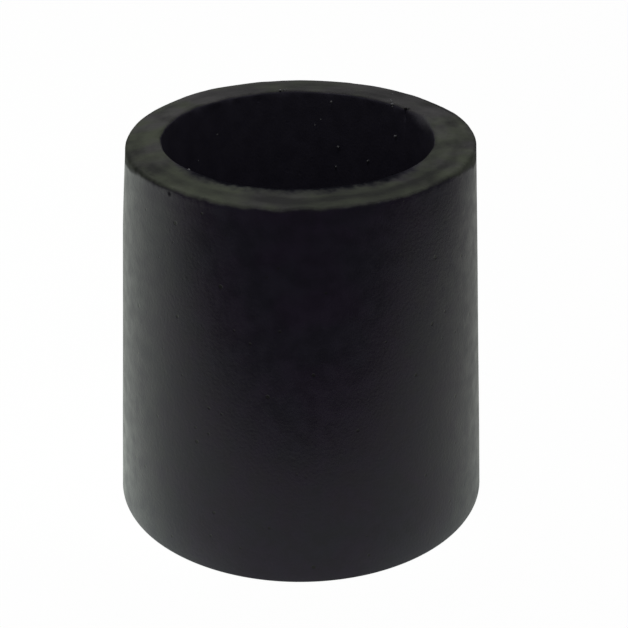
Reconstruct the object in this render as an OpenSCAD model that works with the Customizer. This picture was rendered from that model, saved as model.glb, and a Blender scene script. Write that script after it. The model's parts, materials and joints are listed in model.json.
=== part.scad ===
// Rubber tip for the foot of a walking cane. It is one moulding: a tapered cup whose blind
// socket grips the shaft, on a thick sole with concentric tread rings.
// Z is up, the axis of the socket is Z, and the tread stands on z = 0. Sizes are millimetres.

/* [Socket] */
// Bore that the cane's shaft is pushed into
bore_d = 19; // [16:0.5:25]
// Depth of the socket, from the mouth down to its floor
socket_depth = 22; // [14:0.5:32]
// Rounding of the bore's edge at the mouth, which leads the shaft in
lead_in_r = 0.25; // [0.1:0.05:1]
// Rounding at the foot of the bore, where its wall meets the floor
socket_foot_r = 1; // [0.2:0.1:2.5]

/* [Body] */
// Wall around the bore at the mouth
mouth_wall = 2.75; // [1.8:0.05:4.5]
// How much further out the body reaches at the base than at the mouth
base_flare = 1.6; // [0:0.1:4]
// Rubber between the socket's floor and the ground
sole_t = 6; // [3.5:0.5:12]
// Rounding of the outer edge at the mouth
mouth_edge_r = 0.25; // [0.1:0.05:1.2]
// Rounding of the outer edge at the base
base_edge_r = 0.4; // [0.1:0.05:1.5]

/* [Tread] */
// Number of grooves, which stand evenly between the edge ring and the middle pad
groove_count = 3; // [2:1:4]
// Width of the ring along the edge, where it stands on the ground
edge_ring_w = 2.2; // [1:0.1:4]
// Radius of the plain pad in the middle
centre_pad_r = 3.8; // [2:0.1:6]
// Width of each groove at its root
groove_root_w = 0.9; // [0.4:0.1:2]
// Depth of the grooves
groove_depth = 1.2; // [0.4:0.1:2.5]
// Draft of the grooves' walls, in degrees
groove_draft = 12; // [2:1:25]
// Rounding of the rings' edges
ring_edge_r = 0.2; // [0.05:0.05:0.5]
// Rounding at the roots of the grooves
groove_root_r = 0.3; // [0.05:0.05:0.8]

/* [Hidden] */

rubber_black = "#26252a";

// Straight pieces in each rounded edge of the section
arc_steps = 8;
// Share of a straight run that the rounding at one end may use up
run_share = 0.49;

height = sole_t + socket_depth;
bore_r = bore_d / 2;
mouth_r = bore_r + mouth_wall;
base_r = mouth_r + base_flare;

// The grooves are a little wider at the ground than at their roots, for the draft.
groove_lean = groove_depth * tan(groove_draft);
groove_mouth_w = groove_root_w + 2 * groove_lean;
tread_r = base_r - edge_ring_w;
groove_pitch = (tread_r - centre_pad_r - groove_mouth_w) / (groove_count - 1);

// Corners of one groove, from its inner lip to its outer one. Each corner is
// [distance from the axis, height, rounding], and outer_r is the outer lip's distance.
function groove_corners(outer_r) = [
    [outer_r - groove_mouth_w, 0, ring_edge_r],
    [outer_r - groove_mouth_w + groove_lean, groove_depth, groove_root_r],
    [outer_r - groove_lean, groove_depth, groove_root_r],
    [outer_r, 0, ring_edge_r],
];

// The whole section, up the outside from the middle of the sole and back down the socket
section_corners = [
    [0, 0, 0],
    for (i = [groove_count - 1 : -1 : 0]) each groove_corners(tread_r - i * groove_pitch),
    [base_r, 0, base_edge_r],
    [mouth_r, height, mouth_edge_r],
    [bore_r, height, lead_in_r],
    [bore_r, sole_t, socket_foot_r],
    [0, sole_t, 0],
];

function place(corner) = [corner[0], corner[1]];
function unit(v) = v / norm(v);

// Points of the arc that rounds a corner, tangent to the two straight runs that meet there.
// before and after are the corners on either side of it.
function rounded_corner(before, corner, after) =
    let (
        p = place(corner),
        run_in = place(before) - p,
        run_out = place(after) - p,
        u = unit(run_in),
        v = unit(run_out),
        half_angle = acos(u * v) / 2,
        longest = run_share * min(norm(run_in), norm(run_out)),
        r = min(corner[2], longest * tan(half_angle)),
        centre = p + unit(u + v) * r / sin(half_angle),
        first = p + u * r / tan(half_angle) - centre,
        turn = 180 - 2 * half_angle,
        way = sign(cross(first, p - centre))
    )
    [for (k = [0 : arc_steps])
        let (a = way * turn * k / arc_steps)
        centre + [first[0] * cos(a) - first[1] * sin(a), first[0] * sin(a) + first[1] * cos(a)]
    ];

// Outline of a ring of corners, with every corner that has a rounding turned into its arc
function rounded_outline(corners) =
    let (n = len(corners))
    [for (i = [0 : n - 1])
        each (corners[i][2] > 0
            ? rounded_corner(corners[(i + n - 1) % n], corners[i], corners[(i + 1) % n])
            : [place(corners[i])])
    ];

module rubber_tip() {
    color(rubber_black)
        rotate_extrude($fn = 180)
            polygon(rounded_outline(section_corners));
}

rubber_tip();
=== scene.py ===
import json
import math

import bpy
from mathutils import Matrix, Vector


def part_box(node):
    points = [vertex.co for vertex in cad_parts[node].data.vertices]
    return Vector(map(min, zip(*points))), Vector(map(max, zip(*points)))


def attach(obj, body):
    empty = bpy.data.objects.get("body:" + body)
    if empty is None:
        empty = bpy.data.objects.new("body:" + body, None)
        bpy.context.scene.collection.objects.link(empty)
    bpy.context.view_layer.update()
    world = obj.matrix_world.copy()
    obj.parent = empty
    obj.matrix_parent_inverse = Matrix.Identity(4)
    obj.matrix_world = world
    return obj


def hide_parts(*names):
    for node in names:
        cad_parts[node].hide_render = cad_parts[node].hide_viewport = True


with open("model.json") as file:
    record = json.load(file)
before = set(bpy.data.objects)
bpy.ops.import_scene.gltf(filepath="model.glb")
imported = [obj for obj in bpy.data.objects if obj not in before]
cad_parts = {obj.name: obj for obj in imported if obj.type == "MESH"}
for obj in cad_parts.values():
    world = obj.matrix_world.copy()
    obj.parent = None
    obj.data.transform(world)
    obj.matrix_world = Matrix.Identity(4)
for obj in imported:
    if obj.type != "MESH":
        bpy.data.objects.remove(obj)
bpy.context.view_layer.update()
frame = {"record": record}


# The tip is one rubber moulding, a tapered cup on a thick sole. Its section is one outline,
# turned once round the axis, and the press leaves all the edges that the mould makes rounded.
# Its points lie closer together round the mouth, where the rubber was trimmed and is uneven.

MM = 0.001

tip_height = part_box("rubber_tip")[1].z
socket_mount = next(m for m in frame["record"]["mounts"] if m["name"] == "shaft_socket")
bore_r = socket_mount["dims"]["r_mm"] * MM
mouth_wall = 2.75 * MM
mouth_r = bore_r + mouth_wall
base_flare = 1.6 * MM
base_r = mouth_r + base_flare
socket_depth = 22 * MM
socket_floor = tip_height - socket_depth
mouth_edge_r = 0.25 * MM
lead_in_r = 0.25 * MM
socket_foot_r = 1 * MM
# The base's edge is crisper than the solid's, because the photograph's outline is.
base_edge_r = 0.2 * MM

groove_count = 3
edge_ring_w = 2.2 * MM
centre_pad_r = 3.8 * MM
groove_root_w = 0.9 * MM
groove_depth = 1.2 * MM
groove_draft = math.radians(12)
groove_lean = groove_depth * math.tan(groove_draft)
groove_mouth_w = groove_root_w + 2 * groove_lean
ring_edge_r = 0.2 * MM
groove_root_r = 0.3 * MM
tread_r = base_r - edge_ring_w
groove_pitch = (tread_r - centre_pad_r - groove_mouth_w) / (groove_count - 1)

# Segments round the axis, and steps in the arc of a small edge and of one that shows
segments = 800
few_steps = 1
many_steps = 5

# Distance between the rows of points on a plain run, near the mouth and on the rim
plain_rows = 2.2 * MM
close_rows = 0.24 * MM
rim_rows = 0.15 * MM

# How far down from the mouth, outside and in the bore, and up from the base the rows change
close_outside = 1.9 * MM
close_inside = 1.2 * MM
close_at_base = 0.8 * MM


def groove_corners(outer_r):
    """One tread groove from its inner lip out, as (radius, height, rounding, arc steps, row distance)."""
    inner_r = outer_r - groove_mouth_w
    return [
        (inner_r, 0, ring_edge_r, few_steps, plain_rows),
        (inner_r + groove_lean, groove_depth, groove_root_r, few_steps, plain_rows),
        (outer_r - groove_lean, groove_depth, groove_root_r, few_steps, plain_rows),
        (outer_r, 0, ring_edge_r, few_steps, plain_rows),
    ]


def wall_radius(level):
    """Radius of the tapered outside at a height."""
    return base_r - base_flare * level / tip_height


section_corners = [(0, 0, 0, 0, plain_rows)]
for groove in reversed(range(groove_count)):
    section_corners += groove_corners(tread_r - groove * groove_pitch)
section_corners += [
    (base_r, 0, base_edge_r, many_steps, plain_rows),
    (wall_radius(close_at_base), close_at_base, 0, 0, plain_rows),
    (wall_radius(tip_height - close_outside), tip_height - close_outside, 0, 0, close_rows),
    (mouth_r, tip_height, mouth_edge_r, many_steps, rim_rows),
    (bore_r, tip_height, lead_in_r, many_steps, close_rows),
    (bore_r, tip_height - close_inside, 0, 0, plain_rows),
    (bore_r, socket_floor, socket_foot_r, many_steps, plain_rows),
    (0, socket_floor, 0, 0, plain_rows),
]

section = bpy.data.meshes.new("tip_section")
section.from_pydata(
    [(corner[0], 0.0, corner[1]) for corner in section_corners],
    [(n, n + 1) for n in range(len(section_corners) - 1)], [],
)
# Each attribute is filled before the next is made, because making one moves the others' values.
corner_values = [("rounding", "FLOAT", 2), ("arc_steps", "INT", 3), ("row_distance", "FLOAT", 4)]
for name, kind, column in corner_values:
    values = section.attributes.new(name, kind, "POINT").data
    for n, corner in enumerate(section_corners):
        values[n].value = corner[column]


def put(tree, kind, inputs=None, **settings):
    """Adds a node, sets its settings, and links or sets each of its inputs by name or number."""
    made = tree.nodes.new(kind)
    for name, value in settings.items():
        setattr(made, name, value)
    for key, value in (inputs or {}).items():
        if isinstance(value, bpy.types.NodeSocket):
            tree.links.new(value, made.inputs[key])
        else:
            made.inputs[key].default_value = value
    return made


def calc(tree, operation, *values):
    """A math node's result for one to three values or sockets."""
    return put(tree, "ShaderNodeMath", dict(enumerate(values)), operation=operation).outputs[0]


def total(tree, first, *others):
    """The sum of values or sockets."""
    for value in others:
        first = calc(tree, "ADD", first, value)
    return first


def product(tree, first, *others):
    """The product of values or sockets."""
    for value in others:
        first = calc(tree, "MULTIPLY", first, value)
    return first


def vector_calc(tree, operation, *values, result="Vector"):
    """A vector math node's result for one or two vectors."""
    made = put(tree, "ShaderNodeVectorMath", dict(enumerate(values)), operation=operation)
    return made.outputs[result]


def remap(tree, value, low, high, to_low=0.0, to_high=1.0, curve="SMOOTHSTEP"):
    """value taken from the range low to high into another range, and held at its ends."""
    inputs = {"Value": value, "From Min": low, "From Max": high, "To Min": to_low, "To Max": to_high}
    return put(tree, "ShaderNodeMapRange", inputs, interpolation_type=curve).outputs["Result"]


def mix_number(tree, mask, first, second):
    """A number between two, by a mask."""
    return put(tree, "ShaderNodeMix", {0: mask, 2: first, 3: second}, data_type="FLOAT").outputs[0]


def scaled(tree, vector, factor):
    """A vector times a number."""
    inputs = {"Vector": vector, "Scale": factor}
    return put(tree, "ShaderNodeVectorMath", inputs, operation="SCALE").outputs["Vector"]


def upright(tree, value):
    """A vector along Z."""
    return put(tree, "ShaderNodeCombineXYZ", {"X": 0.0, "Y": 0.0, "Z": value}).outputs["Vector"]


def noise(tree, place, scale, detail=2.0, shift=0.0):
    """Noise from about -0.5 to 0.5. shift picks another pattern of the same kind."""
    inputs = {"Vector": place, "W": shift, "Scale": scale, "Detail": detail}
    made = put(tree, "ShaderNodeTexNoise", inputs, noise_dimensions="4D")
    return calc(tree, "SUBTRACT", made.outputs[0], 0.5)


def open_tree(name, kind, sockets_in, sockets_out):
    """An empty node group with named sockets, and its input's and output's nodes."""
    tree = bpy.data.node_groups.new(name, kind)
    for direction, sockets in (("INPUT", sockets_in), ("OUTPUT", sockets_out)):
        for socket_name, socket_kind in sockets:
            tree.interface.new_socket(socket_name, in_out=direction, socket_type=socket_kind)
    given = tree.nodes.new("NodeGroupInput")
    result = tree.nodes.new("NodeGroupOutput")
    return tree, given.outputs, result.inputs


NUMBER = "NodeSocketFloat"
WHOLE = "NodeSocketInt"
VECTOR = "NodeSocketVector"
SHAPE = "NodeSocketGeometry"
FINISH = "NodeSocketMaterial"

turning, given, result = open_tree(
    "turned_moulding", "GeometryNodeTree",
    [
        ("Section", SHAPE), ("Segments", WHOLE),
        ("Height", NUMBER), ("Mouth Radius", NUMBER), ("Bore Radius", NUMBER), ("Pad Radius", NUMBER),
        ("Trim Unevenness", NUMBER), ("Lump Height", NUMBER), ("Lump Length", NUMBER),
        ("Nick Depth", NUMBER), ("Bevel Depth", NUMBER),
        ("Front Droop", NUMBER), ("Back Droop", NUMBER), ("Edge Wear", NUMBER),
        ("Draw In", NUMBER), ("Bore Shift", VECTOR),
        ("Wobble", NUMBER), ("Seed", NUMBER), ("Finish", FINISH),
    ],
    [("Moulding", SHAPE)],
)


def kept(tree, name, data_type="FLOAT"):
    """A named attribute of the shape."""
    made = put(tree, "GeometryNodeInputNamedAttribute", {"Name": name}, data_type=data_type)
    return made.outputs["Attribute"]


# The outline's corners become arcs, and its straight runs get rows of points.
section_line = put(turning, "GeometryNodeMeshToCurve", {"Mesh": given["Section"]}).outputs["Curve"]
rounded_line = put(
    turning, "GeometryNodeFilletCurve",
    {
        "Curve": section_line, "Radius": kept(turning, "rounding"),
        "Count": kept(turning, "arc_steps", "INT"), "Limit Radius": True,
    },
    mode="POLY",
).outputs["Curve"]
way_along = put(turning, "GeometryNodeSplineParameter").outputs["Length"]
point_number = put(turning, "GeometryNodeInputIndex").outputs["Index"]
next_way = put(
    turning, "GeometryNodeFieldAtIndex",
    {"Index": calc(turning, "ADD", point_number, 1), "Value": way_along},
    data_type="FLOAT", domain="POINT",
).outputs["Value"]
run_length = calc(turning, "SUBTRACT", next_way, way_along)
row_count = calc(turning, "DIVIDE", run_length, kept(turning, "row_distance"))
run_cuts = calc(turning, "MAXIMUM", calc(turning, "FLOOR", row_count), 0)
full_line = put(
    turning, "GeometryNodeSubdivideCurve", {"Curve": rounded_line, "Cuts": run_cuts}
).outputs["Curve"]

# A grid with one row of points for each segment is wrapped round the axis.
line_points = put(
    turning, "GeometryNodeAttributeDomainSize", {"Geometry": full_line}, component="CURVE"
).outputs["Point Count"]
grid = put(
    turning, "GeometryNodeMeshGrid",
    {
        "Size X": 1.0, "Size Y": 1.0, "Vertices Y": line_points,
        "Vertices X": calc(turning, "ADD", given["Segments"], 1),
    },
).outputs["Mesh"]
turn_number = calc(turning, "FLOOR", calc(turning, "DIVIDE", point_number, line_points))
line_number = calc(turning, "MODULO", point_number, line_points)
angle = product(turning, calc(turning, "DIVIDE", turn_number, given["Segments"]), math.tau)
place = put(turning, "GeometryNodeInputPosition").outputs["Position"]
section_place = put(
    turning, "GeometryNodeSampleIndex",
    {"Geometry": full_line, "Value": place, "Index": line_number},
    data_type="FLOAT_VECTOR", domain="POINT",
).outputs["Value"]
section_parts = put(turning, "ShaderNodeSeparateXYZ", {"Vector": section_place}).outputs
radius = section_parts["X"]
level = section_parts["Z"]
outward = put(
    turning, "ShaderNodeCombineXYZ",
    {"X": calc(turning, "COSINE", angle), "Y": calc(turning, "SINE", angle), "Z": 0.0},
).outputs["Vector"]
true_place = vector_calc(turning, "ADD", scaled(turning, outward, radius), upright(turning, level))
true_parts = put(turning, "ShaderNodeSeparateXYZ", {"Vector": true_place}).outputs

# How near each point is to the rim's face, to its outer edge and to the bore's edge, from 0 to 1
depth_below = calc(turning, "SUBTRACT", given["Height"], level)
inside_edge = calc(turning, "SUBTRACT", given["Mouth Radius"], radius)
outside_bore = calc(turning, "SUBTRACT", radius, given["Bore Radius"])


def slant(tree, along, down):
    """The length of a slanting way, from its two shares."""
    squares = total(tree, product(tree, along, along), product(tree, down, down))
    return calc(tree, "SQRT", squares)


on_rim = remap(turning, depth_below, 0.3 * MM, 0.02 * MM)
on_outer_edge = remap(turning, slant(turning, inside_edge, depth_below), 0.7 * MM, 0.1 * MM)
on_bore_edge = remap(turning, slant(turning, outside_bore, depth_below), 0.6 * MM, 0.1 * MM)

# The trimming knife went round the rim, so its marks are long round the axis and short across.
mark_stretch = 1.5 * MM
knife_place = vector_calc(
    turning, "ADD", scaled(turning, outward, mark_stretch), upright(turning, radius)
)
knife_cuts = noise(turning, knife_place, scale=1500.0, shift=given["Seed"])
broad_cuts = noise(
    turning, true_place, scale=230.0, detail=1.0, shift=total(turning, given["Seed"], 3.0)
)
uneven = product(turning, total(turning, knife_cuts, broad_cuts), given["Trim Unevenness"])

# Lumps run along the torn outer edge, and lower ones along the bore's edge.
lump_scale = calc(turning, "DIVIDE", 1.0, given["Lump Length"])
on_outer_round = scaled(turning, outward, given["Mouth Radius"])
outer_pattern = noise(turning, on_outer_round, lump_scale, detail=4.0, shift=given["Seed"])
edge_lumps = product(turning, outer_pattern, given["Lump Height"])
bore_lump_share = 0.6
on_bore_round = scaled(turning, outward, given["Bore Radius"])
bore_pattern = noise(turning, on_bore_round, lump_scale, detail=3.0, shift=5.0)
bore_lumps = product(turning, bore_pattern, product(turning, given["Lump Height"], bore_lump_share))
wobble_pattern = noise(
    turning, true_place, scale=70.0, detail=1.0, shift=total(turning, given["Seed"], 7.0)
)
wobble = product(turning, wobble_pattern, given["Wobble"])


def on_round(azimuth, radius, level):
    """A place on a circle round the axis. Azimuth 0 faces the front and grows to the right."""
    turn = math.radians(azimuth)
    return Vector((math.sin(turn) * radius, -math.cos(turn) * radius, level))


def nearness(tree, place, centre, reach):
    """1 at the centre, falling to 0 where the reach along each axis ends."""
    away = vector_calc(tree, "DIVIDE", vector_calc(tree, "SUBTRACT", place, centre), reach)
    return remap(tree, vector_calc(tree, "LENGTH", away, result="Value"), 1.0, 0.0)


# The bore's edge has one nick and a worn bevel beside it. Both edges are torn most in front,
# and are nearly clean at the back.
nick_azimuth = 125.2
nick_place = on_round(nick_azimuth, bore_r, tip_height - 0.35 * MM)
nick = nearness(turning, true_place, nick_place, (0.18 * MM, 0.18 * MM, 0.80 * MM))
bevel_place = on_round(112.0, bore_r, tip_height + 0.4 * MM)
bevel = nearness(turning, true_place, bevel_place, (2.6 * MM, 2.6 * MM, 1.15 * MM))
tearing = remap(turning, true_parts["Y"], 0.5 * MM, -5.0 * MM, 0.10, 1.0)
edge_lumps = product(turning, edge_lumps, tearing)

# The rim falls a little towards its outer edge, most at the left in front, and the edge is worn
# down at the right behind.
low_side = (-0.6, -0.8, 0.0)
towards_low_side = vector_calc(turning, "DOT_PRODUCT", true_place, low_side, result="Value")
droop = mix_number(
    turning, remap(turning, towards_low_side, -4.0 * MM, 12.0 * MM, curve="LINEAR"),
    given["Back Droop"], given["Front Droop"],
)
droop = product(turning, droop, remap(turning, inside_edge, mouth_wall - 0.3 * MM, 0.2 * MM))
worn_edge_place = on_round(125.0, mouth_r, tip_height)
worn_edge = nearness(turning, true_place, worn_edge_place, (7.0 * MM, 7.0 * MM, 3.0 * MM))
along_outside = remap(turning, inside_edge, 0.8 * MM, 0.0)
droop = total(turning, droop, product(turning, worn_edge, along_outside, given["Edge Wear"]))
droop = product(turning, droop, remap(turning, depth_below, 1.9 * MM, 0.5 * MM))

# The left side draws in below the rim. The bore stands a little off the axis at the mouth, and
# comes back to it further down.
draw_in = product(
    turning, given["Draw In"], remap(turning, depth_below, 7.0 * MM, 0.3 * MM), along_outside,
    remap(turning, true_parts["X"], 4.0 * MM, -10.0 * MM, 0.1, 1.0),
)
shift_share = product(
    turning, remap(turning, outside_bore, 1.6 * MM, 0.0), remap(turning, depth_below, 10.0 * MM, 0.0)
)
bore_shift = scaled(turning, given["Bore Shift"], shift_share)

lift = total(
    turning, product(turning, uneven, on_rim), product(turning, edge_lumps, on_outer_edge),
    product(turning, bore_lumps, tearing, on_bore_edge),
)
rise = calc(turning, "SUBTRACT", lift, droop)
edge_spread_share = 0.15
spread = total(
    turning,
    product(turning, wobble, remap(turning, radius, given["Pad Radius"], given["Bore Radius"])),
    product(turning, edge_lumps, edge_spread_share, on_outer_edge),
    product(turning, bore_lumps, on_bore_edge),
    product(turning, nick, given["Nick Depth"]),
    product(turning, bevel, given["Bevel Depth"]),
    product(turning, draw_in, -1.0),
)
moved = vector_calc(turning, "ADD", scaled(turning, outward, spread), upright(turning, rise))
moved = vector_calc(turning, "ADD", moved, bore_shift)
wrapped = put(
    turning, "GeometryNodeSetPosition",
    {"Geometry": grid, "Position": vector_calc(turning, "ADD", true_place, moved)},
).outputs[0]

# The finish needs to know how far each point lies from the mouth's outer edge, measured along
# the section: negative down the outside, then across the rim and on down the bore. The tread
# lies below the bore, and a whole metre is taken off there, so that it counts as outside.
middle_r = product(turning, total(turning, given["Mouth Radius"], given["Bore Radius"]), 0.5)
side = calc(turning, "SIGN", calc(turning, "SUBTRACT", middle_r, radius))
across = total(turning, inside_edge, product(turning, depth_below, side))
tread_zone = 3.0 * MM
in_tread = calc(turning, "LESS_THAN", level, tread_zone)
across = calc(turning, "SUBTRACT", across, in_tread)
measured = put(
    turning, "GeometryNodeStoreNamedAttribute",
    {"Geometry": wrapped, "Name": "across", "Value": across}, data_type="FLOAT", domain="POINT",
).outputs["Geometry"]

# The grid's two ends and its rows on the axis are joined, and only sharp bends stay creased.
same_point = 0.001 * MM
sharp_bend = math.radians(34)
closed = put(
    turning, "GeometryNodeMergeByDistance", {"Geometry": measured, "Distance": same_point}
).outputs["Geometry"]
smooth = put(turning, "GeometryNodeSetShadeSmooth", {"Geometry": closed}).outputs[0]
bend = put(turning, "GeometryNodeInputMeshEdgeAngle").outputs["Unsigned Angle"]
creased = put(
    turning, "GeometryNodeSetShadeSmooth",
    {
        "Geometry": smooth, "Shade Smooth": False,
        "Selection": calc(turning, "GREATER_THAN", bend, sharp_bend),
    },
    domain="EDGE",
).outputs[0]
real = put(turning, "GeometryNodeRealizeInstances", {"Geometry": creased}).outputs["Geometry"]
finished = put(
    turning, "GeometryNodeSetMaterial", {"Geometry": real, "Material": given["Finish"]}
).outputs["Geometry"]
turning.links.new(finished, result["Moulding"])


# Rubber leaves the mould matte black, with fine pores and a faint pale bloom. The knife left
# the rim's face greyer and streaked round it, and the socket keeps a duller skin.

def grain_group():
    """Pores, bloom and small pits of moulded rubber: masks for its colour, a height for its bump."""
    tree, given, result = open_tree(
        "rubber_grain", "ShaderNodeTree",
        [("Pore Scale", NUMBER), ("Bloom Scale", NUMBER), ("Pit Scale", NUMBER)],
        [("Bloom", NUMBER), ("Pits", NUMBER), ("Height", NUMBER)],
    )
    place = put(tree, "ShaderNodeTexCoord").outputs["Object"]
    pores = noise(tree, place, given["Pore Scale"], detail=3.0, shift=1.0)
    bloom = noise(tree, place, given["Bloom Scale"], detail=5.0, shift=5.0)
    cells = put(tree, "ShaderNodeTexVoronoi", {"Vector": place, "Scale": given["Pit Scale"]}).outputs
    chance = put(tree, "ShaderNodeSeparateColor", {"Color": cells["Color"]}).outputs["Red"]
    pit_size = remap(tree, chance, 0.4, 1.0, 0.0, 0.20, "LINEAR")
    pits = remap(tree, calc(tree, "SUBTRACT", cells["Distance"], pit_size), 0.0, -0.07)
    tree.links.new(remap(tree, bloom, -0.2, 0.2), result["Bloom"])
    tree.links.new(pits, result["Pits"])
    tree.links.new(total(tree, pores, product(tree, bloom, 0.4)), result["Height"])
    return tree


def knife_group():
    """Marks of a knife that went round the rim: long round the axis and fine across it."""
    tree, given, result = open_tree(
        "knife_marks", "ShaderNodeTree",
        [("Stretch", NUMBER), ("Scale", NUMBER), ("Patch Scale", NUMBER)],
        [("Marks", NUMBER), ("Patches", NUMBER)],
    )
    place = put(tree, "ShaderNodeTexCoord").outputs["Object"]
    flat_place = vector_calc(tree, "MULTIPLY", place, (1.0, 1.0, 0.0))
    length = vector_calc(tree, "LENGTH", flat_place, result="Value")
    way = vector_calc(tree, "NORMALIZE", flat_place)
    round_place = vector_calc(
        tree, "ADD", scaled(tree, way, given["Stretch"]), upright(tree, length)
    )
    marks = noise(tree, round_place, given["Scale"], detail=3.0, shift=2.0)
    patches = noise(tree, place, given["Patch Scale"], detail=4.0, shift=6.0)
    tree.links.new(marks, result["Marks"])
    tree.links.new(patches, result["Patches"])
    return tree


def place_group(tree, group, **values):
    """A node group placed in a material, with its own values. Underscores stand for spaces."""
    made = put(tree, "ShaderNodeGroup", node_tree=group)
    for name, value in values.items():
        made.inputs[name.replace("_", " ")].default_value = value
    return made.outputs


def mix_colour(tree, mask, first, second):
    """A colour between two, by a mask. Each is a colour or a socket."""
    made = tree.nodes.new("ShaderNodeMix")
    made.data_type = "RGBA"
    tree.links.new(mask, made.inputs[0])
    for number, colour in ((6, first), (7, second)):
        if isinstance(colour, bpy.types.NodeSocket):
            tree.links.new(colour, made.inputs[number])
        else:
            made.inputs[number].default_value = (*colour, 1.0)
    return made.outputs[2]


rubber = bpy.data.materials.new("black_rubber")
rubber.use_nodes = True
tree = rubber.node_tree
shader = tree.nodes["Principled BSDF"]
place = put(tree, "ShaderNodeTexCoord").outputs["Object"]
parts = put(tree, "ShaderNodeSeparateXYZ", {"Vector": place}).outputs
across = put(tree, "ShaderNodeAttribute", attribute_name="across").outputs["Fac"]
grain = place_group(tree, grain_group(), Pore_Scale=4500.0, Bloom_Scale=900.0, Pit_Scale=1000.0)
marks = place_group(tree, knife_group(), Stretch=4.5 * MM, Scale=900.0, Patch_Scale=420.0)

# The cut takes in the rounded outer edge. At the sides and the back it reaches further down
# the outside, and ends in ragged tongues.
cut_reach = 1.05 * MM
least_reach = 0.10 * MM
cut_softness = 0.22 * MM
ragged = noise(tree, place, scale=420.0, detail=3.0, shift=9.0)
fine_ragged = noise(tree, place, scale=1800.0, shift=4.0)
edge_ragged = noise(tree, place, scale=700.0, detail=3.0, shift=21.0)
tongues = total(tree, 1.0, product(tree, ragged, 1.6))
reach = total(
    tree,
    product(tree, remap(tree, parts["Y"], -8.6 * MM, -0.5 * MM, 0.0, cut_reach), tongues),
    product(tree, edge_ragged, 0.30 * MM),
    product(tree, fine_ragged, 0.12 * MM),
    least_reach,
)
past_cut_end = calc(tree, "DIVIDE", total(tree, across, reach), cut_softness)

# The socket's skin begins at the bore's edge. In front, painted shade carries the socket's darker colour
# up over the rim's inner part with a ragged border, and where the bore's edge is worn the border is
# softer.
in_front = remap(tree, parts["Y"], -3.0 * MM, -8.0 * MM)
front_shade_ragged = product(
    tree, in_front,
    total(tree, product(tree, edge_ragged, 0.5 * MM), product(tree, fine_ragged, 0.9 * MM)),
)
# The lit bevel is the bore's worn bevel at the right, where a painted highlight lies on the socket near
# the mouth.
lit_bevel_place = on_round(110.0, bore_r, tip_height + 0.1 * MM)
lit_bevel = nearness(tree, place, lit_bevel_place, (3.0 * MM, 3.0 * MM, 1.2 * MM))


def skin_and_shade_border(plain, front_shade_shift, worn_shift):
    """How far across the border of the skin and the front's painted shade lies: its plain place, moved in
    front and where worn.
    """
    return total(
        tree, plain, product(tree, in_front, front_shade_shift), product(tree, lit_bevel, worn_shift), front_shade_ragged
    )


skin_and_shade_start = skin_and_shade_border(mouth_wall + 0.03 * MM, -1.16 * MM, -0.35 * MM)
skin_and_shade_end = skin_and_shade_border(mouth_wall + 0.13 * MM, -0.36 * MM, 0.20 * MM)
socket_and_front_shade = remap(tree, across, skin_and_shade_start, skin_and_shade_end)
trimmed = product(
    tree, remap(tree, past_cut_end, -1.0, 1.0), calc(tree, "SUBTRACT", 1.0, socket_and_front_shade)
)

# Each pair of colours is the rubber where the bloom is thinnest and where it is thickest.
wall_violet = ((0.0098, 0.0025, 0.0205), (0.0178, 0.0075, 0.0335))
wall_green = ((0.0070, 0.0045, 0.0185), (0.0145, 0.0100, 0.0310))
socket_grey = ((0.0360, 0.0320, 0.0520), (0.0500, 0.0450, 0.0700))
lit_bevel_grey = (0.090, 0.088, 0.098)
pit_shade_black = (0.002, 0.001, 0.003)
violet_wall = mix_colour(tree, grain["Bloom"], *wall_violet)
green_wall = mix_colour(tree, grain["Bloom"], *wall_green)
green_share = remap(tree, noise(tree, place, scale=280.0, shift=40.0), -0.12, 0.12)
wall_colour = mix_colour(tree, green_share, violet_wall, green_wall)
# The pits are dented by the bump, and their near-black colour is painted shade inside them.
wall_colour = mix_colour(tree, grain["Pits"], wall_colour, pit_shade_black)
socket_colour = mix_colour(tree, grain["Bloom"], *socket_grey)
# A painted highlight pales the socket near the mouth at the right, over the worn bevel.
socket_colour = mix_colour(tree, lit_bevel, socket_colour, lit_bevel_grey)


def band(tree, value, middle, half_width, full_within):
    """1 close to a middle value, falling to 0 at the band's half width from it."""
    off_middle = calc(tree, "ABSOLUTE", calc(tree, "SUBTRACT", value, middle))
    return remap(tree, off_middle, half_width, full_within)


# The cut face is palest along its two edges and has a darker streak between them in front. It
# is paler at the left and at both ends. Painted shade darkens its outer edge at the left in front,
# along the front and at the right behind, and a painted highlight pales one spot on the bore's rounded
# edge at the right.
pale_edges = total(
    tree, band(tree, across, 0.5 * MM, 0.4 * MM, 0.1 * MM),
    remap(tree, across, mouth_wall - 1.5 * MM, mouth_wall - 1.1 * MM),
)
streak = product(tree, band(tree, across, 1.2 * MM, 0.45 * MM, 0.05 * MM), in_front)
to_left = remap(tree, parts["X"], 12.0 * MM, -12.0 * MM, -1.0, 1.0, "LINEAR")
at_ends = remap(tree, calc(tree, "ABSOLUTE", parts["X"]), 6.0 * MM, 12.0 * MM)
corner_reach = (6.5 * MM, 6.5 * MM, 6.5 * MM)
left_front = nearness(tree, place, on_round(-70.0, mouth_r, tip_height), corner_reach)
right_back = nearness(tree, place, on_round(118.0, mouth_r, tip_height), corner_reach)
# Painted shade on the outer edge: at the left in front, along the front, and at the right behind.
painted_shade_left_edge = product(tree, left_front, remap(tree, across, 1.7 * MM, 0.7 * MM))
painted_shade_front_edge = product(tree, in_front, remap(tree, across, 0.35 * MM, 0.0))
painted_shade_back_edge = product(tree, right_back, remap(tree, across, 0.65 * MM, 0.35 * MM))
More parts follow.
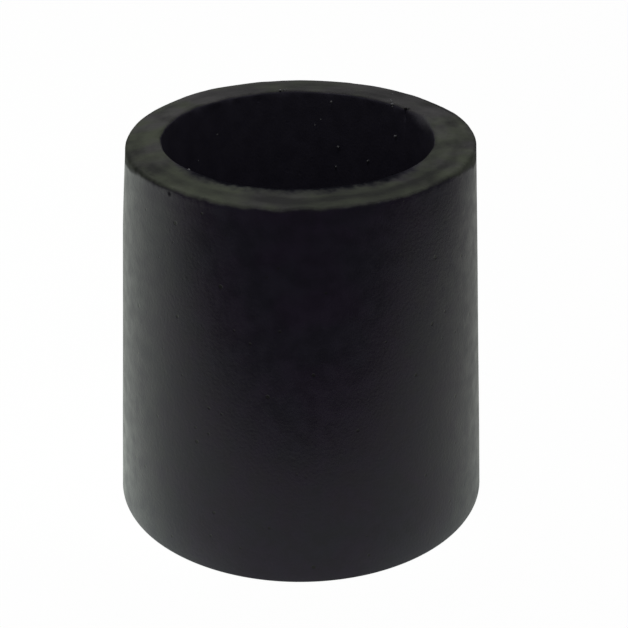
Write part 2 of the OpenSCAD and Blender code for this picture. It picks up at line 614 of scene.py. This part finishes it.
# A painted highlight on the bore's rounded edge at the right end.
painted_highlight_place = on_round(88.0, 9.75 * MM, tip_height)
painted_highlight_spot = nearness(tree, place, painted_highlight_place, (0.7 * MM, 2.4 * MM, 1.0 * MM))
broad = noise(tree, place, scale=110.0, detail=1.0, shift=31.0)
patches = product(tree, marks["Patches"], total(tree, 1.0, at_ends))
mottling = product(tree, fine_ragged, at_ends)

# (mask, how much it lightens the cut face), on top of the plain face's tone
plain_tone = 0.42
tone_parts = [
    (marks["Marks"], 1.4), (patches, 1.5), (mottling, 0.5), (broad, 0.8), (pale_edges, 0.14),
    (streak, -0.22), (painted_shade_left_edge, -0.24), (painted_shade_back_edge, -0.40), (right_back, 0.10),
    (to_left, 0.10), (at_ends, 0.16), (painted_highlight_spot, 0.35), (painted_shade_front_edge, -0.12),
]
tone = total(tree, plain_tone, *[product(tree, mask, share) for mask, share in tone_parts])
rim_tone = remap(tree, tone, 0.0, 1.0, curve="LINEAR")
rim_olive = ((0.0100, 0.0118, 0.0075), (0.0780, 0.0892, 0.0599))
rim_violet = ((0.0110, 0.0100, 0.0115), (0.0803, 0.0774, 0.0789))
olive_colour = mix_colour(tree, rim_tone, *rim_olive)
violet_colour = mix_colour(tree, rim_tone, *rim_violet)
hue = total(
    tree, noise(tree, place, scale=330.0, shift=14.0),
    product(tree, to_left, -0.03), product(tree, at_ends, -0.08),
    remap(tree, parts["Y"], -9.0 * MM, 10.0 * MM, -0.07, 0.17, "LINEAR"),
)
rim_colour = mix_colour(tree, remap(tree, hue, -0.12, 0.18), olive_colour, violet_colour)

# Painted shade in near black, without shine: a band along the front lip, one pit in the outside, and the
# nick's cleft.
front_shade_black = (0.010, 0.010, 0.014)
hole_shade_black = (0.004, 0.004, 0.005)
above_bore_wall = remap(tree, across, mouth_wall + 0.4 * MM, mouth_wall + 0.2 * MM)
front_shade_band = product(tree, socket_and_front_shade, in_front, above_bore_wall)
# Painted shade fills the pit and the nick's cleft with near black.
pit_place = on_round(-43.6, mouth_r, tip_height - 0.66 * MM)
pit = nearness(tree, place, pit_place, (0.3 * MM, 0.3 * MM, 0.3 * MM))
cleft_place = on_round(nick_azimuth, bore_r + 0.15 * MM, tip_height - 0.3 * MM)
cleft = nearness(tree, place, cleft_place, (0.22 * MM, 0.22 * MM, 0.85 * MM))
holes = calc(tree, "MAXIMUM", pit, cleft)
moulded_colour = mix_colour(tree, socket_and_front_shade, wall_colour, socket_colour)
moulded_colour = mix_colour(tree, front_shade_band, moulded_colour, front_shade_black)
base_colour = mix_colour(tree, trimmed, moulded_colour, rim_colour)
tree.links.new(mix_colour(tree, holes, base_colour, hole_shade_black), shader.inputs["Base Color"])

socket_rough = 0.62
wall_rough = remap(tree, grain["Bloom"], 0.0, 1.0, 0.30, 0.40, "LINEAR")
moulded_rough = mix_number(tree, socket_and_front_shade, wall_rough, socket_rough)
rim_rough = remap(tree, rim_tone, 0.0, 1.0, 0.74, 0.86, "LINEAR")
surface_rough = mix_number(tree, trimmed, moulded_rough, rim_rough)
# Where shade is painted, the rubber is near black and takes no shine.
painted_deep_shade = calc(tree, "MAXIMUM", front_shade_band, holes)
tree.links.new(mix_number(tree, painted_deep_shade, surface_rough, 1.0), shader.inputs["Roughness"])
tree.links.new(mix_number(tree, painted_deep_shade, 0.5, 0.0), shader.inputs["Specular IOR Level"])

grain_height = 0.016 * MM
pit_depth = 0.012 * MM
mark_height = 0.10 * MM
burr_height = 0.03 * MM
moulded_height = calc(
    tree, "SUBTRACT",
    product(tree, grain["Height"], grain_height), product(tree, grain["Pits"], pit_depth),
)
cut_height = total(
    tree, product(tree, marks["Marks"], mark_height), product(tree, fine_ragged, burr_height)
)
height = total(tree, moulded_height, product(tree, trimmed, cut_height))
bump = put(tree, "ShaderNodeBump", {"Height": height, "Distance": 1.0, "Strength": 1.0})
tree.links.new(bump.outputs["Normal"], shader.inputs["Normal"])


def grown(name, mesh, tree, values):
    """A plain mesh object, made by a node tree from a mesh and the tree's named values."""
    start = bpy.data.objects.new(name + "_start", mesh)
    bpy.context.scene.collection.objects.link(start)
    modifier = start.modifiers.new("make", "NODES")
    modifier.node_group = tree
    for socket in tree.interface.items_tree:
        if socket.item_type == "SOCKET" and socket.in_out == "INPUT" and socket.name in values:
            modifier[socket.identifier] = values[socket.name]
    bpy.context.view_layer.update()
    evaluated = start.evaluated_get(bpy.context.evaluated_depsgraph_get())
    plain = bpy.data.meshes.new_from_object(evaluated)
    plain.name = name
    if plain.materials[0] is None:
        plain.materials.pop(index=0)
    bpy.data.objects.remove(start)
    made = bpy.data.objects.new(name, plain)
    bpy.context.scene.collection.objects.link(made)
    return made


tip = grown("tip_moulding", section, turning, {
    "Segments": segments,
    "Height": tip_height, "Mouth Radius": mouth_r, "Bore Radius": bore_r, "Pad Radius": centre_pad_r,
    "Trim Unevenness": 0.15 * MM, "Lump Height": 0.50 * MM, "Lump Length": 1.1 * MM,
    "Nick Depth": 0.34 * MM, "Bevel Depth": 0.26 * MM,
    "Front Droop": 0.29 * MM, "Back Droop": 0.0, "Edge Wear": 0.10 * MM,
    "Draw In": 0.14 * MM, "Bore Shift": (-0.14 * MM, 0.20 * MM, 0.0),
    "Wobble": 0.08 * MM, "Seed": 4.0, "Finish": rubber,
})
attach(tip, "root")
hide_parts("rubber_tip")


# Crumbs of powdered rubber stick to the wall of the socket and to the rim's inner edge. Each
# is a small uneven grain, turned and stretched at random and sunk a little into the surface.

crumbling, given, result = open_tree(
    "crumbs", "GeometryNodeTree",
    [("Places", SHAPE), ("Unevenness", NUMBER), ("Seed", WHOLE), ("Finish", FINISH)],
    [("Crumbs", SHAPE)],
)
ball = put(crumbling, "GeometryNodeMeshIcoSphere", {"Radius": 1.0, "Subdivisions": 2}).outputs["Mesh"]


def random_vector(tree, low, high, seed):
    """A vector picked at random for each point."""
    inputs = {"Min": low, "Max": high, "Seed": seed}
    return put(tree, "FunctionNodeRandomValue", inputs, data_type="FLOAT_VECTOR").outputs["Value"]


turned = random_vector(crumbling, (0.0, 0.0, 0.0), (math.tau, math.tau, math.tau), given["Seed"])
stretched = random_vector(
    crumbling, (0.6, 0.6, 0.6), (1.3, 1.0, 1.0), calc(crumbling, "ADD", given["Seed"], 1)
)
spots = put(crumbling, "GeometryNodeMeshToPoints", {"Mesh": given["Places"]}).outputs["Points"]
placed = put(
    crumbling, "GeometryNodeInstanceOnPoints",
    {
        "Points": spots, "Instance": ball, "Rotation": turned,
        "Scale": scaled(crumbling, stretched, kept(crumbling, "size")),
    },
).outputs["Instances"]
real = put(crumbling, "GeometryNodeRealizeInstances", {"Geometry": placed}).outputs["Geometry"]
place = put(crumbling, "GeometryNodeInputPosition").outputs["Position"]
away = put(crumbling, "GeometryNodeInputNormal").outputs["Normal"]
dents = product(crumbling, noise(crumbling, place, scale=9000.0, detail=1.0), given["Unevenness"])
dented = put(
    crumbling, "GeometryNodeSetPosition",
    {"Geometry": real, "Offset": scaled(crumbling, away, dents)},
).outputs[0]
finished = put(
    crumbling, "GeometryNodeSetMaterial", {"Geometry": dented, "Material": given["Finish"]}
).outputs["Geometry"]
crumbling.links.new(finished, result["Crumbs"])

crumb_finish = bpy.data.materials.new("powdered_crumb")
crumb_finish.use_nodes = True
tree = crumb_finish.node_tree
shader = tree.nodes["Principled BSDF"]
crumb_dark = (0.09, 0.09, 0.095)
crumb_pale = (0.24, 0.24, 0.25)
grain_tree = bpy.data.node_groups["rubber_grain"]
grain = place_group(tree, grain_tree, Pore_Scale=9000.0, Bloom_Scale=9000.0, Pit_Scale=0.0)
crumb_colour = mix_colour(tree, grain["Bloom"], crumb_dark, crumb_pale)
tree.links.new(crumb_colour, shader.inputs["Base Color"])
shader.inputs["Roughness"].default_value = 0.8

# (azimuth in degrees, radius, height, half the width) of the crumbs that show
crumb_places = [
    (166.1, bore_r, 27.24 * MM, 0.09 * MM),
    (170.9, bore_r, 25.80 * MM, 0.065 * MM),
    (173.7, bore_r, 25.32 * MM, 0.055 * MM),
    (-139.0, bore_r, 25.40 * MM, 0.07 * MM),
    (162.7, bore_r, 23.72 * MM, 0.09 * MM),
    (132.3, bore_r, 25.59 * MM, 0.13 * MM),
    (147.7, bore_r, 22.97 * MM, 0.12 * MM),
    (163.7, bore_r, 22.04 * MM, 0.09 * MM),
    (-126.9, bore_r, 23.89 * MM, 0.07 * MM),
    (142.3, 11.24 * MM, 27.96 * MM, 0.09 * MM),
    (138.5, 10.08 * MM, 28.00 * MM, 0.12 * MM),
    (136.6, 9.78 * MM, 28.00 * MM, 0.14 * MM),
    (135.3, 9.58 * MM, 27.92 * MM, 0.12 * MM),
    (134.9, 9.55 * MM, 27.76 * MM, 0.08 * MM),
    (-48.9, 9.64 * MM, 28.00 * MM, 0.11 * MM),
    (-173.6, 9.90 * MM, tip_height, 0.09 * MM),
    (-172.4, 9.88 * MM, tip_height, 0.08 * MM),
    (-170.9, 9.86 * MM, tip_height, 0.10 * MM),
]
crumb_mesh = bpy.data.meshes.new("crumb_places")
crumb_mesh.from_pydata([on_round(*crumb[:3]) for crumb in crumb_places], [], [])
sizes = crumb_mesh.attributes.new("size", "FLOAT", "POINT").data
for n, crumb in enumerate(crumb_places):
    sizes[n].value = crumb[3]
crumbs = grown("rubber_crumbs", crumb_mesh, crumbling, {
    "Unevenness": 0.06 * MM, "Seed": 3, "Finish": crumb_finish,
})
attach(crumbs, "root")


# The tip stands on a white table with a short front edge, in a studio that is dark behind the
# camera, so the rubber's sides mirror the lamps and the table and its front stays black. The
# table and the background show white to the camera, and the table keeps the tip's soft shadow.

table_front = -34 * MM
table_back = 320 * MM
table_left = -260 * MM
table_right = 74 * MM
table_top = -0.02 * MM
pure_white = (1.0, 1.0, 1.0, 1.0)
table_colour = (0.88, 0.89, 0.83, 1.0)
glow_colour = (0.89, 1.0, 0.90, 1.0)
background_white = 0.98

table_mesh = bpy.data.meshes.new("table_top")
table_mesh.from_pydata(
    [
        (table_left, table_front, table_top), (table_right, table_front, table_top),
        (table_right, table_back, table_top), (table_left, table_back, table_top),
    ],
    [], [(0, 1, 2, 3)],
)
table = bpy.data.objects.new("table_top", table_mesh)
bpy.context.scene.collection.objects.link(table)

table_white = bpy.data.materials.new("white_table")
table_white.use_nodes = True
tree = table_white.node_tree
shader = tree.nodes["Principled BSDF"]
shader.inputs["Base Color"].default_value = table_colour
shader.inputs["Roughness"].default_value = 0.9
place = put(tree, "ShaderNodeTexCoord").outputs["Object"]
parts = put(tree, "ShaderNodeSeparateXYZ", {"Vector": place}).outputs

# The table is lit by lamps that aren't built, so it glows a little: most at the left, less at
# the front edge and far behind, and more close to the tip, where the base mirrors it.
glow_strength = 0.42
close_strength = 0.30
spread_out = product(
    tree,
    remap(tree, parts["X"], -30 * MM, 45 * MM, glow_strength, 0.25 * glow_strength),
    remap(tree, parts["Y"], -26 * MM, 4 * MM, 0.25, 1.0),
    remap(tree, parts["Y"], 200 * MM, 40 * MM),
)
from_axis = slant(tree, parts["X"], parts["Y"])
close_by = product(
    tree,
    remap(tree, from_axis, 28 * MM, 14 * MM, 0.0, close_strength),
    remap(tree, parts["Y"], -15 * MM, -5 * MM),
    remap(tree, parts["X"], 17 * MM, -14 * MM, 0.25, 1.0),
)
round_base = product(
    tree,
    remap(tree, from_axis, 18.5 * MM, 14 * MM),
    remap(tree, parts["X"], 10 * MM, -10 * MM, 0.20, 0.29),
    remap(tree, calc(tree, "ABSOLUTE", parts["X"]), 3 * MM, 9 * MM, 0.3, 1.0),
    remap(tree, parts["Y"], -3 * MM, -9 * MM, 0.1, 1.0),
)
glow = total(tree, spread_out, close_by, round_base)
shader.inputs["Emission Color"].default_value = glow_colour
tree.links.new(glow, shader.inputs["Emission Strength"])
plain_white = put(tree, "ShaderNodeEmission", {"Color": pure_white, "Strength": 1.0})
camera_ray = put(tree, "ShaderNodeLightPath").outputs["Is Camera Ray"]
mixed = put(tree, "ShaderNodeMixShader", {
    0: calc(tree, "MULTIPLY", camera_ray, background_white),
    1: shader.outputs["BSDF"], 2: plain_white.outputs["Emission"],
})
tree.links.new(mixed.outputs["Shader"], tree.nodes["Material Output"].inputs["Surface"])
table.data.materials.append(table_white)

room_strength = 0.099
world = bpy.data.worlds.new("studio")
bpy.context.scene.world = world
world.use_nodes = True
tree = world.node_tree
room = tree.nodes["Background"]
room.inputs["Color"].default_value = pure_white
room.inputs["Strength"].default_value = room_strength
white = put(tree, "ShaderNodeBackground", {"Color": pure_white, "Strength": 1.0})
mixed = put(tree, "ShaderNodeMixShader", {
    0: put(tree, "ShaderNodeLightPath").outputs["Is Camera Ray"],
    1: room.outputs["Background"], 2: white.outputs["Background"],
})
tree.links.new(mixed.outputs["Shader"], tree.nodes["World Output"].inputs["Surface"])


def softbox(name, azimuth, elevation, distance, width, height, radiance):
    """A lit panel that faces the tip. radiance is how bright it looks, where 1 is white."""
    lamp = bpy.data.lights.new(name, "AREA")
    lamp.shape = "RECTANGLE"
    lamp.size = width
    lamp.size_y = height
    lamp.energy = radiance * math.pi * width * height
    made = bpy.data.objects.new(name, lamp)
    bpy.context.scene.collection.objects.link(made)
    turn = math.radians(azimuth)
    rise = math.radians(elevation)
    way = Vector((math.sin(turn) * math.cos(rise), -math.cos(turn) * math.cos(rise), math.sin(rise)))
    aim = Vector((0.0, 0.0, tip_height / 2))
    made.location = aim + way * distance
    made.rotation_euler = way.to_track_quat("Z", "Y").to_euler()
    made.visible_camera = False


softbox("back_lamp", azimuth=200, elevation=40, distance=0.5, width=0.26, height=0.30, radiance=0.742)
softbox("top_lamp", azimuth=0, elevation=90, distance=0.5, width=0.36, height=0.36, radiance=2.387)


# The camera stands close and looks down at the tip, as the photograph's did. Its place and its
# lens were fitted to the outlines of the mouth, the bore, the sides and the base.

aim = Vector((0.987, 0.0, 14.052)) * MM
camera_distance = 111.59 * MM
camera_elevation = math.radians(27.37)

lens = bpy.data.cameras.new("camera")
lens.sensor_width = 36.0
lens.lens = 86.63
lens.clip_start = 1 * MM
camera = bpy.data.objects.new("camera", lens)
bpy.context.scene.collection.objects.link(camera)
way = Vector((0.0, -math.cos(camera_elevation), math.sin(camera_elevation)))
camera.location = aim + way * camera_distance
camera.rotation_euler = way.to_track_quat("Z", "Y").to_euler()
bpy.context.scene.camera = camera
bpy.context.scene.view_settings.view_transform = "Standard"
